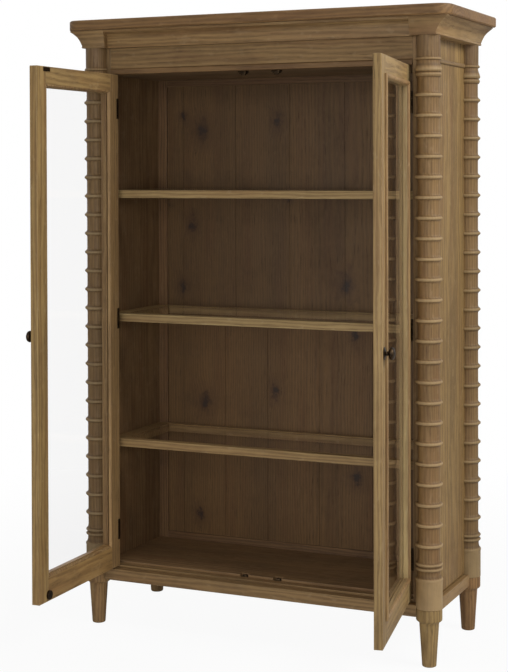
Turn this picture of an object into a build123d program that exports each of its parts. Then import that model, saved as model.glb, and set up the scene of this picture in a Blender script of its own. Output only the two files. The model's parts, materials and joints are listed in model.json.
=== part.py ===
from build123d import *
import math
import os

os.makedirs("parts", exist_ok=True)

# A tall wooden display cabinet on four turned legs, with four ringed corner posts, a moulded
# cornice, three glazed shelves and a pair of glazed doors on butt hinges. Millimetres, +Z up,
# front towards -Y. The doors stand open at rest, so the origin, the middle of the footprint on
# the floor, lies in front of the carcass's own centre.

# Overall size
overall_height = 2100.0
slab_width = 1386.0
slab_thickness = 35.0
slab_front_reach = 285.0
slab_back_reach = 258.0
slab_corner_radius = 50.0
slab_easing = 4.0
carcass_centre_y = 251.5

# Corner posts and legs
post_spacing_x = 1208.0
post_spacing_y = 434.0
shaft_radius = 36.0
ring_radius = 41.5
ring_height = 13.0
ring_count = 23
ring_first_z = 388.0
ring_last_z = 1817.0
head_drum_radius = 38.0
foot_drum_radius = 43.0
foot_drum_top = 272.0
neck_radius = 36.0
bead_radius = 43.0
post_bottom = 187.0
post_top = 2005.0
collar_radius = 42.0
collar_bottom = 144.0
leg_top_radius = 31.5
leg_foot_radius = 23.0
foot_rounding = 6.0

# Carcass boards, measured outwards from the carcass centre
face_reach = 213.0
panel_outer_x = 602.0
panel_thickness = 22.0
opening_half_width = 550.0
stile_thickness = 24.0
back_reach = 213.0
back_frame_thickness = 16.0
back_board_thickness = 10.0
back_stile_inner_x = 545.0
carcass_bottom = 160.0
base_rail_bottom = 158.0
base_rail_top = 197.0
base_rail_reach_y = 241.0
base_rail_reach_x = 620.0
base_rail_easing = 2.0
shadow_gap_top = 202.0
shadow_gap_depth = 6.0
ledge_top = 206.0
ledge_depth = 33.0
floor_top = 213.0
ceiling_bottom = 1914.0
ceiling_thickness = 18.0
floor_thickness = 16.0
back_rail_overlap = 24.0
back_board_joint = 1.2
head_rail_top = 1934.0
head_rail_proud = 6.0
head_rail_nose = 4.0
coping_clearance = 0.4

# Cornice
cornice_thickness = 37.0
cornice_reach_x = 639.0
cornice_front_reach = 232.0
cornice_projection = 43.0
cornice_fillet = 3.0
cornice_square = 8.0
bead_proud = 3.0
bead_top = 9.0
flat_top = 38.0
flat_step = 4.0
break_inner_x = 552.0
break_reach = 254.0

# Shelves
shelf_tops = {"lower": 641.5, "middle": 1080.0, "upper": 1512.0}
shelf_thickness = 27.5
shelf_front_reach = 180.0
shelf_back_reach = 195.0
shelf_end_gap = 1.0
shelf_front_rail = 42.0
shelf_back_rail = 28.0
shelf_end_rail = 58.0
shelf_glass_thickness = 5.0
shelf_glass_bearing = 8.0
support_radius = 3.0
support_socket = 8.0
support_showing = 7.0
support_inset = 50.0
support_play = 0.05
joint_line = 0.2

# Doors
door_bottom = 208.0
door_top = 1912.0
door_thickness = 26.0
hinge_gap = 1.3
meeting_gap = 1.25
stile_width = 67.0
bottom_rail_width = 84.0
moulding_width = 14.0
moulding_height = 8.0
moulding_side = 4.0
moulding_crest = 5.0
moulding_foot = 1.0
rebate_width = 10.0
rebate_depth = 14.0
glass_thickness = 4.0
glass_clearance = 0.5
bead_setback = 1.0
bead_flat = 4.0
left_rest_angle = 88.5
right_rest_angle = 100.0

# Butt hinges
hinge_heights = (335.0, 1068.0, 1794.0)
hinge_length = 70.0
knuckle_radius = 4.0
knuckle_count = 3
knuckle_gap = 0.4
pin_radius = 2.0
pin_clearance = 0.05
pin_head_radius = 3.4
pin_head_height = 2.0
knuckle_proud = 4.4
leaf_thickness = 1.1
leaf_return = 15.0

# Knobs, catches and strikes
knob_height = 1050.0
knob_inset = 33.0
knob_plate_radius = 19.0
knob_neck_radius = 6.5
knob_head_radius = 16.5
knob_plate_thickness = 2.5
knob_head_height = 17.0
knob_projection = 29.0
strike_inset = 60.0
strike_disc_radius = 14.5
strike_disc_height = 228.0
strike_disc_thickness = 6.0
strike_plate_size = (40.0, 13.0)
strike_plate_thickness = 2.0
strike_plate_height = 1903.0
side_bead_height = 14.0
side_bead_depth = 7.0
side_bead_z = 1932.0
catch_size_x = 30.0
catch_size_y = 20.0
catch_clearance = 0.5
upper_catch_height = 15.0
lower_catch_height = 16.0

# Reference planes worked out from the sizes above
post_x = post_spacing_x / 2
front_post_y = carcass_centre_y - post_spacing_y / 2
back_post_y = carcass_centre_y + post_spacing_y / 2
front_face_y = carcass_centre_y - face_reach
stile_back_y = front_face_y + stile_thickness
back_face_y = carcass_centre_y + back_reach
back_frame_y = back_face_y - back_frame_thickness
back_board_y = back_face_y - back_board_thickness
panel_inner_x = panel_outer_x - panel_thickness
slab_bottom = overall_height - slab_thickness
ring_pitch = (ring_last_z - ring_first_z) / (ring_count - 1)
floor_front_y = front_face_y + ledge_depth
shelf_front_y = carcass_centre_y - shelf_front_reach
shelf_back_y = carcass_centre_y + shelf_back_reach
hinge_x = opening_half_width - hinge_gap
hinge_y = front_face_y - knuckle_proud
door_edge_x = hinge_gap
door_width = hinge_x - meeting_gap - door_edge_x


def save(piece, name):
    """Label a finished piece and write it out as a node of its own."""
    piece.part.label = name
    export_step(piece.part, f"parts/{name}.step")


def board(x_span, y_span, z_span):
    """A straight board between the given faces."""
    with BuildPart() as piece:
        with BuildSketch(Plane.XY.offset(z_span[0])):
            with Locations((sum(x_span) / 2, sum(y_span) / 2)):
                Rectangle(x_span[1] - x_span[0], y_span[1] - y_span[0])
        extrude(amount=z_span[1] - z_span[0])
    return piece


def cope_round_posts(radius):
    """Take the round of the two nearest post bases out of the piece being built."""
    with BuildSketch(Plane.XY.offset(collar_bottom)) as rounds:
        for side in (-1, 1):
            with Locations((side * post_x, front_post_y), (side * post_x, back_post_y)):
                Circle(radius + coping_clearance)
    extrude(rounds.sketch, amount=2 * (base_rail_top - collar_bottom), mode=Mode.SUBTRACT)


# Crown slab with rounded front corners and eased front and side edges
with BuildPart() as crown_slab:
    slab_depth = slab_front_reach + slab_back_reach
    slab_mid_y = carcass_centre_y + (slab_back_reach - slab_front_reach) / 2
    with BuildSketch(Plane.XY.offset(slab_bottom)) as slab_plan:
        with Locations((0, slab_mid_y)):
            Rectangle(slab_width, slab_depth)
        fillet(slab_plan.vertices().group_by(Axis.Y)[0], slab_corner_radius)
    extrude(amount=slab_thickness)
    rims = crown_slab.faces().sort_by(Axis.Z)[0].edges() + crown_slab.faces().sort_by(Axis.Z)[-1].edges()
    chamfer(rims, slab_easing)
save(crown_slab, "crown_slab")


def quarter_curve(start, end, steps, hollow=False):
    """Points of a quarter round, or of a hollow, from start to end in the sketch being drawn."""
    points = []
    for index in range(steps + 1):
        turn = math.radians(90.0 * index / steps)
        along, up = (1 - math.cos(turn), math.sin(turn)) if hollow else (math.sin(turn), 1 - math.cos(turn))
        points.append((start[0] + along * (end[0] - start[0]), start[1] + up * (end[1] - start[1])))
    return points


def swept_curve(projection):
    """Points of a cornice face from foot to top: a small bead, one long hollow and a fillet."""
    hollow_top = slab_bottom - post_top - cornice_square
    bead = [(0, 0), (bead_proud, 2.0), (bead_proud, bead_top - 2.0), (1.0, bead_top)]
    hollow = quarter_curve((1.0, bead_top), (projection - cornice_fillet, hollow_top), 7, True)
    return bead + hollow[1:] + [(projection, hollow_top), (projection, slab_bottom - post_top)]


def front_curve(projection):
    """Points of the cornice face between the breaks: a flat, a step and a shallow hollow."""
    hollow_top = slab_bottom - post_top - cornice_square
    hollow = quarter_curve((flat_step, flat_top + 2.0), (projection - cornice_fillet, hollow_top), 6, True)
    flat = [(0, 0), (0, flat_top), (flat_step, flat_top)]
    return flat + hollow + [(projection, hollow_top), (projection, slab_bottom - post_top)]


def cornice_profile(base_plane, face):
    """Closed cornice section, from its back to the moulded face."""
    height = slab_bottom - post_top
    with BuildSketch(base_plane) as section:
        with BuildLine():
            Polyline((-cornice_thickness, 0), *face, (-cornice_thickness, height), close=True)
        make_face()
    return section.sketch


# Cornice mouldings: one length across the front and one down each side, mitred at the corners
corner_front_y = carcass_centre_y - cornice_front_reach
cornice_overrun = cornice_projection + 10.0
mitre_left = Plane(
    origin=(-cornice_reach_x, corner_front_y, post_top), x_dir=(1, 1, 0), z_dir=(1, -1, 0)
)
mitre_right = Plane(
    origin=(cornice_reach_x, corner_front_y, post_top), x_dir=(1, -1, 0), z_dir=(-1, -1, 0)
)

with BuildPart() as front_cornice:
    run_length = 2 * (cornice_reach_x + cornice_overrun)
    start = Plane(origin=(-run_length / 2, corner_front_y, post_top), x_dir=(0, -1, 0), z_dir=(-1, 0, 0))
    extrude(cornice_profile(start, front_curve(cornice_projection)), amount=-run_length)
    split(bisect_by=mitre_left, keep=Keep.TOP)
    split(bisect_by=mitre_right, keep=Keep.TOP)
save(front_cornice, "front_cornice")

side_cornices = {}
for side, name in ((-1, "left"), (1, "right")):
    with BuildPart() as side_cornice:
        side_start_y = corner_front_y - cornice_overrun
        side_length = carcass_centre_y + slab_back_reach - side_start_y
        start = Plane(
            origin=(side * cornice_reach_x, side_start_y, post_top),
            x_dir=(side, 0, 0),
            z_dir=(0, -side, 0),
        )
        extrude(cornice_profile(start, swept_curve(cornice_projection)), amount=-side * side_length)
        mitre = mitre_left if side < 0 else mitre_right
        split(bisect_by=mitre, keep=Keep.BOTTOM)
    side_cornices[side] = side_cornice
    save(side_cornice, f"{name}_cornice")

# The cornice breaks forward over the head of each front post. A hollow sweep along the front and
# the side's own moulding cross in each break, which gives it a mitred outer corner.
break_front_y = carcass_centre_y - break_reach
break_height = slab_bottom - post_top
break_sweep = cornice_front_reach + cornice_projection - break_reach
with BuildPart() as cornice_breaks:
    with BuildSketch(Plane(origin=(0, break_front_y, post_top), x_dir=(0, -1, 0), z_dir=(-1, 0, 0))):
        back_x = break_front_y - corner_front_y
        with BuildLine():
            Polyline((back_x, 0), *swept_curve(break_sweep), (back_x, break_height), close=True)
        make_face()
    extrude(amount=slab_width / 2, both=True)
    with BuildSketch(Plane(origin=(0, break_front_y, post_top), x_dir=(1, 0, 0), z_dir=(0, -1, 0))):
        for side in (-1, 1):
            outer = [(side * (cornice_reach_x + x), z) for x, z in swept_curve(cornice_projection)]
            inner = [(side * break_inner_x, break_height), (side * break_inner_x, 0)]
            with BuildLine():
                Polyline(*outer, *inner, close=True)
            make_face()
    extrude(amount=cornice_projection, both=True, mode=Mode.INTERSECT)
    add(front_cornice.part, mode=Mode.SUBTRACT)
    for side in (-1, 1):
        add(side_cornices[side].part, mode=Mode.SUBTRACT)
save(cornice_breaks, "cornice_breaks")

# Frieze board between the front stiles, under the cornice
frieze_span = (-opening_half_width, opening_half_width)
frieze = board(frieze_span, (front_face_y, stile_back_y), (head_rail_top, post_top))
save(frieze, "frieze_board")

# Head rail over the doors, a little proud of the frieze
with BuildPart() as head_rail:
    rail_front_y = front_face_y - head_rail_proud
    with BuildSketch(Plane.XY.offset(ceiling_bottom)):
        with Locations((0, (rail_front_y + stile_back_y) / 2)):
            Rectangle(2 * opening_half_width, stile_back_y - rail_front_y)
    extrude(amount=head_rail_top - ceiling_bottom)
    chamfer(head_rail.edges().filter_by(Axis.X).group_by(Axis.Y)[0].sort_by(Axis.Z)[-1], head_rail_nose)
    chamfer(head_rail.edges().filter_by(Axis.X).group_by(Axis.Y)[0].sort_by(Axis.Z)[0], head_rail_nose / 2)
save(head_rail, "head_rail")


def ring(z, half_height, radius, root):
    """Profile points of one turned ring, climbing from the shaft to a crest and back."""
    return [(root, z - half_height), (radius, z), (root, z + half_height)]


# Turned corner posts: plain drum at the foot, a close stack of rings all the way up the shaft,
# and a plain drum under the cornice. The quarter that faces into the carcass is cut away, so
# that the stiles and panels seat against it.
foot_bead_centres = (314.0, 328.5)
post_outline = [(foot_drum_radius, post_bottom), (foot_drum_radius, foot_drum_top)]
post_outline += ring(foot_drum_top + 7.0, 6.0, foot_drum_radius + 1.5, foot_drum_radius - 2.5)[1:]
post_outline += [(neck_radius, 303.0)]
post_outline += ring(foot_bead_centres[0], 6.0, bead_radius, neck_radius + 1.5)
post_outline += ring(foot_bead_centres[1], 6.0, bead_radius, neck_radius + 1.5)[1:]
post_outline += [(shaft_radius, 345.0)]
for index in range(ring_count):
    post_outline += ring(ring_first_z + index * ring_pitch, ring_height / 2, ring_radius, shaft_radius)
post_outline += [(shaft_radius, 1872.0), (bead_radius - 0.5, 1882.0), (neck_radius + 1.5, 1889.0)]
post_outline += [(bead_radius, 1897.0), (neck_radius, 1916.0), (neck_radius, 1926.0)]
post_outline += [(bead_radius - 1.0, 1931.0), (head_drum_radius, 1938.0), (head_drum_radius, post_top)]


def cut_inner_quarter(side, inward, low_z):
    """Cut the quarter that faces into the carcass out of the turning being built."""
    quarter = 2 * foot_drum_radius
    seat_y = front_face_y if inward > 0 else back_face_y
    with BuildSketch(Plane.XY.offset(low_z)) as notch:
        with Locations((side * (panel_outer_x - quarter / 2), seat_y + inward * quarter / 2)):
            Rectangle(quarter, quarter)
    extrude(notch.sketch, amount=post_top - low_z, mode=Mode.SUBTRACT)


posts = {
    "front_left_post": (-1, front_post_y),
    "front_right_post": (1, front_post_y),
    "back_left_post": (-1, back_post_y),
    "back_right_post": (1, back_post_y),
}
for name, (side, axis_y) in posts.items():
    inward = 1 if axis_y < carcass_centre_y else -1
    with BuildPart() as post:
        with BuildSketch(Plane(origin=(side * post_x, axis_y, 0), x_dir=(1, 0, 0), z_dir=(0, -1, 0))):
            with BuildLine():
                Polyline((0, post_top), (0, post_bottom), *post_outline, close=True)
            make_face()
        revolve(axis=Axis((side * post_x, axis_y, 0), (0, 0, 1)))
        cut_inner_quarter(side, inward, post_bottom)
    save(post, name)

# Turned legs: a collar that meets the base rails, then a plain taper to a rounded foot
legs = {
    "front_left_leg": (-1, front_post_y),
    "front_right_leg": (1, front_post_y),
    "back_left_leg": (-1, back_post_y),
    "back_right_leg": (1, back_post_y),
}
for name, (side, axis_y) in legs.items():
    inward = 1 if axis_y < carcass_centre_y else -1
    with BuildPart() as leg:
        with BuildSketch(Plane(origin=(side * post_x, axis_y, 0), x_dir=(1, 0, 0), z_dir=(0, -1, 0))):
            with BuildLine():
                Polyline(
                    (0, 0),
                    (leg_foot_radius - foot_rounding, 0),
                    (leg_foot_radius - foot_rounding / 4, foot_rounding / 4),
                    (leg_foot_radius, foot_rounding),
                    (leg_top_radius, collar_bottom - 6.0),
                    (leg_top_radius + 3.5, collar_bottom),
                    (collar_radius - 3.0, collar_bottom + 4.0),
                    (collar_radius, collar_bottom + 10.0),
                    (collar_radius, post_bottom - 5.0),
                    (collar_radius - 2.5, post_bottom),
                    (0, post_bottom),
                    close=True,
                )
            make_face()
        revolve(axis=Axis((side * post_x, axis_y, 0), (0, 0, 1)))
        cut_inner_quarter(side, inward, carcass_bottom)
    save(leg, name)

# Base rails, tenoned between the legs and coped to their collars
base_rail_thickness = base_rail_reach_y - face_reach
for name, facing in (("front_base_rail", -1), ("back_base_rail", 1)):
    with BuildPart() as base_rail:
        with BuildSketch(Plane.XY.offset(base_rail_bottom)):
            with Locations((0, carcass_centre_y + facing * (face_reach + base_rail_thickness / 2))):
                Rectangle(2 * panel_outer_x, base_rail_thickness)
        extrude(amount=base_rail_top - base_rail_bottom)
        cope_round_posts(foot_drum_radius)
        outer = base_rail.edges().filter_by(Axis.X).group_by(Axis.Y)[0 if facing < 0 else -1]
        chamfer(outer, base_rail_easing)
    save(base_rail, name)

with BuildPart() as side_base_rails:
    for side in (-1, 1):
        with BuildSketch(Plane.XY.offset(base_rail_bottom)):
            with Locations((side * (base_rail_reach_x + panel_outer_x) / 2, carcass_centre_y)):
                Rectangle(base_rail_reach_x - panel_outer_x, 2 * face_reach)
        extrude(amount=base_rail_top - base_rail_bottom)
    cope_round_posts(foot_drum_radius)
    for group in (0, -1):
        chamfer(side_base_rails.edges().filter_by(Axis.Y).group_by(Axis.X)[group], base_rail_easing)
save(side_base_rails, "side_base_rails")

# Front stiles, from the base rail up to the cornice
front_stile_width = panel_outer_x - opening_half_width
for side, name in ((-1, "left_front_stile"), (1, "right_front_stile")):
    front_stile_x = side * (opening_half_width + panel_outer_x) / 2
    with BuildPart() as front_stile:
        with BuildSketch(Plane.XY.offset(carcass_bottom)):
            with Locations((front_stile_x, (front_face_y + stile_back_y) / 2)):
                Rectangle(front_stile_width, stile_thickness)
        extrude(amount=post_top - carcass_bottom)
        with BuildSketch(Plane.XY.offset(base_rail_top)):
            with Locations((front_stile_x, front_face_y)):
                Rectangle(front_stile_width, 2 * shadow_gap_depth)
        extrude(amount=shadow_gap_top - base_rail_top, mode=Mode.SUBTRACT)
    save(front_stile, name)

# Side panels, with a shadow line over the base rail and sockets for the shelf supports
support_rows_y = (shelf_front_y + support_inset, shelf_back_y - support_inset)
for side, name in ((-1, "left_side_panel"), (1, "right_side_panel")):
    with BuildPart() as side_panel:
        panel_mid_x = side * (panel_inner_x + panel_outer_x) / 2
        with BuildSketch(Plane.XY.offset(carcass_bottom)):
            with Locations((panel_mid_x, (stile_back_y + back_frame_y) / 2)):
                Rectangle(panel_thickness, back_frame_y - stile_back_y)
        extrude(amount=slab_bottom - carcass_bottom)
        with BuildSketch(Plane.XY.offset(base_rail_top)):
            with Locations((side * panel_outer_x, carcass_centre_y)):
                Rectangle(2 * shadow_gap_depth, 2 * back_reach)
        extrude(amount=shadow_gap_top - base_rail_top, mode=Mode.SUBTRACT)
        for top in shelf_tops.values():
            for row_y in support_rows_y:
                socket = Vector(side * panel_inner_x, row_y, top - shelf_thickness - support_radius)
                with BuildSketch(Plane(origin=socket, x_dir=(0, 1, 0), z_dir=(side, 0, 0))):
                    Circle(support_radius + support_play)
                extrude(amount=support_socket, mode=Mode.SUBTRACT)
    save(side_panel, name)

# Small beads planted across the side panels, level with the posts' top ring
with BuildPart() as side_beads:
    bead_run = post_spacing_y - 2 * (bead_radius + 0.5)
    bead_start_y = carcass_centre_y - bead_run / 2
    half_bead = side_bead_height / 2
    for side in (-1, 1):
        seat_middle = (side * panel_outer_x, bead_start_y, side_bead_z)
        seat = Plane(origin=seat_middle, x_dir=(side, 0, 0), z_dir=(0, -side, 0))
        with BuildSketch(seat) as bead:
            with BuildLine():
                Polyline(
                    (0, -half_bead),
                    (side_bead_depth - 3.0, -half_bead),
                    (side_bead_depth, -half_bead / 2),
                    (side_bead_depth, half_bead / 2),
                    (side_bead_depth - 3.0, half_bead),
                    (0, half_bead),
                    close=True,
                )
            make_face()
        extrude(bead.sketch, amount=-side * bead_run)
save(side_beads, "side_beads")

# Bottom rail under the doors: its top is the ledge that the doors close over
with BuildPart() as bottom_rail:
    with BuildSketch(Plane.XY.offset(carcass_bottom)):
        with Locations((0, (front_face_y + floor_front_y) / 2)):
            Rectangle(2 * opening_half_width, ledge_depth)
    extrude(amount=ledge_top - carcass_bottom)
    with BuildSketch(Plane.XY.offset(base_rail_top)):
        with Locations((0, front_face_y)):
            Rectangle(2 * opening_half_width, 2 * shadow_gap_depth)
    extrude(amount=shadow_gap_top - base_rail_top, mode=Mode.SUBTRACT)
save(bottom_rail, "bottom_front_rail")

# Floor board, its front edge notched for the lower catches, and ceiling board
catch_x = hinge_x - (door_edge_x + door_width - strike_inset)
lower_catch_y = floor_front_y + catch_clearance + catch_size_y / 2
with BuildPart() as floor:
    with BuildSketch(Plane.XY.offset(floor_top - floor_thickness)):
        with Locations((0, (floor_front_y + back_frame_y) / 2)):
            Rectangle(2 * panel_inner_x, back_frame_y - floor_front_y)
        notch_y = lower_catch_y - catch_clearance
        notch_size = (catch_size_x + 2 * joint_line, catch_size_y + 2 * catch_clearance)
        with Locations((-catch_x, notch_y), (catch_x, notch_y)):
            Rectangle(*notch_size, mode=Mode.SUBTRACT)
    extrude(amount=floor_thickness)
save(floor, "floor_board")
ceiling = board(
    (-panel_inner_x, panel_inner_x),
    (stile_back_y, back_frame_y),
    (ceiling_bottom, ceiling_bottom + ceiling_thickness),
)
save(ceiling, "ceiling_board")

# Framed back: two stiles, two rails, and upright boards above and below the middle shelf
back_stile_x = (back_stile_inner_x + panel_outer_x) / 2
with BuildPart() as back_stiles:
    for side in (-1, 1):
        with BuildSketch(Plane.XY.offset(carcass_bottom)):
            with Locations((side * back_stile_x, (back_frame_y + back_face_y) / 2)):
                Rectangle(panel_outer_x - back_stile_inner_x, back_frame_thickness)
        extrude(amount=slab_bottom - carcass_bottom)
save(back_stiles, "back_stiles")

back_span = (-back_stile_inner_x, back_stile_inner_x)
back_depth = (back_frame_y, back_face_y)
boards_bottom = floor_top + back_rail_overlap
boards_top = ceiling_bottom - back_rail_overlap
boards_middle = shelf_tops["middle"] - shelf_thickness / 2
with BuildPart() as back_rails:
    for z_span in ((carcass_bottom, boards_bottom), (boards_top, slab_bottom)):
        add(board(back_span, back_depth, z_span).part)
save(back_rails, "back_rails")

back_halves = {
    "lower_back_boards": ((boards_bottom, boards_middle), (-480, -310, -141, 60, 262, 440)),
    "upper_back_boards": ((boards_middle, boards_top), (-480, -266, -52, 160, 330)),
}
for name, (z_span, joints) in back_halves.items():
    edges_x = (-back_stile_inner_x,) + joints + (back_stile_inner_x,)
    with BuildPart() as back_boards:
        for left_x, right_x in zip(edges_x, edges_x[1:]):
            width = right_x - left_x - back_board_joint
            with BuildSketch(Plane.XY.offset(z_span[0])):
                with Locations(((left_x + right_x) / 2, (back_board_y + back_face_y) / 2)):
                    Rectangle(width, back_board_thickness)
            extrude(amount=z_span[1] - z_span[0])
    save(back_boards, name)

# Shelves: four rails round a pane that lies in a rebate, flush with their tops
shelf_half = panel_inner_x - shelf_end_gap
pane_half = shelf_half - shelf_end_rail
pane_front_y = shelf_front_y + shelf_front_rail
pane_back_y = shelf_back_y - shelf_back_rail
pane_mid_y = (pane_front_y + pane_back_y) / 2
pane_depth = pane_back_y - pane_front_y
for name, top in shelf_tops.items():
    bottom = top - shelf_thickness
    with BuildPart() as shelf_frame:
        for y_span in ((shelf_front_y, pane_front_y), (pane_back_y, shelf_back_y)):
            with BuildSketch(Plane.XY.offset(bottom)):
                with Locations((0, sum(y_span) / 2)):
                    Rectangle(2 * shelf_half, y_span[1] - y_span[0])
            extrude(amount=shelf_thickness)
        chamfer(shelf_frame.edges().filter_by(Axis.X).group_by(Axis.Y)[0], 2.0)
        with BuildSketch(Plane.XY.offset(bottom)):
            for side in (-1, 1):
                with Locations((side * (pane_half + shelf_half) / 2, pane_mid_y)):
                    Rectangle(shelf_end_rail, pane_depth - 2 * joint_line)
        extrude(amount=shelf_thickness)
        with BuildSketch(Plane.XY.offset(top - shelf_glass_thickness)):
            with Locations((0, pane_mid_y)):
                Rectangle(2 * (pane_half + shelf_glass_bearing), pane_depth + 2 * shelf_glass_bearing)
        extrude(amount=shelf_glass_thickness, mode=Mode.SUBTRACT)
    save(shelf_frame, f"{name}_shelf_frame")
    pane_reach = shelf_glass_bearing - glass_clearance
    with BuildPart() as shelf_glass:
        with BuildSketch(Plane.XY.offset(top - shelf_glass_thickness)):
            with Locations((0, pane_mid_y)):
                Rectangle(2 * (pane_half + pane_reach), pane_depth + 2 * pane_reach)
        extrude(amount=shelf_glass_thickness)
    save(shelf_glass, f"{name}_shelf_glass")

with BuildPart() as shelf_supports:
    for top in shelf_tops.values():
        for row_y in support_rows_y:
            support_z = top - shelf_thickness - support_radius
            with BuildSketch(Plane(origin=(0, row_y, support_z), x_dir=(0, 1, 0), z_dir=(1, 0, 0))):
                Circle(support_radius)
            extrude(amount=panel_inner_x + support_socket, both=True)
    with BuildSketch(Plane.XY.offset(carcass_bottom)):
        with Locations((0, carcass_centre_y)):
            Rectangle(2 * (panel_inner_x - support_showing), 2 * back_reach)
    extrude(amount=post_top, mode=Mode.SUBTRACT)
save(shelf_supports, "shelf_supports")


def rebated(width):
    """Section of a door member from its outer edge to the sight line, rebated for the pane."""
    seat = width - rebate_width
    inner = [(width, rebate_depth), (seat, rebate_depth), (seat, door_thickness), (0, door_thickness)]
    return [(0, 0), (width, 0)] + inner


def raised_moulding():
    """Section of the moulding planted round the pane, from its outer edge: side, crest, hollow."""
    crest = quarter_curve((0, moulding_side), (moulding_crest, moulding_height), 3, True)
    hollow = quarter_curve((moulding_crest + 2.0, moulding_height), (moulding_width, moulding_foot), 4)
    return [(0, 0), *crest, *hollow, (moulding_width, 0)]


def bead_section(width):
    """Section of the glazing bead that holds the pane into a door member of this width."""
    seat = width - rebate_width
    rim = width - bead_setback
    glass_back = rebate_depth + glass_thickness
    return [
        (seat, glass_back),
        (rim, glass_back),
        (rim, glass_back + bead_setback),
        (seat + bead_flat, door_thickness),
        (seat, door_thickness),
    ]


def draw_hinge_halves(plan, flip, lean, leaf_width, knuckles, flap=0.0):
    """Draw the halves of one door's hinges that lean to one side: leaves, links and knuckles."""
    pitch = hinge_length / knuckle_count
    leaf_x = lean * (hinge_gap - leaf_thickness / 2)
    for height in hinge_heights:
        low = height - hinge_length / 2
        with BuildSketch(plan.offset(low)) as leaf:
            with Locations((leaf_x, flip * (knuckle_proud + leaf_width / 2))):
                Rectangle(leaf_thickness, leaf_width)
            if flap > 0:
                flap_x = hinge_gap - leaf_thickness + flap / 2
                with Locations((flap_x, flip * (knuckle_proud + door_thickness + leaf_thickness / 2))):
                    Rectangle(flap, leaf_thickness)
        extrude(leaf.sketch, amount=hinge_length)
        for index in knuckles:
            with BuildSketch(plan.offset(low + index * pitch + knuckle_gap / 2)) as knuckle:
                Circle(knuckle_radius)
                with Locations((leaf_x, flip * (knuckle_radius + knuckle_proud) / 2)):
                    Rectangle(leaf_thickness, knuckle_radius - pin_radius)
                Circle(pin_radius + pin_clearance, mode=Mode.SUBTRACT)
            extrude(knuckle.sketch, amount=pitch - knuckle_gap)


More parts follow.
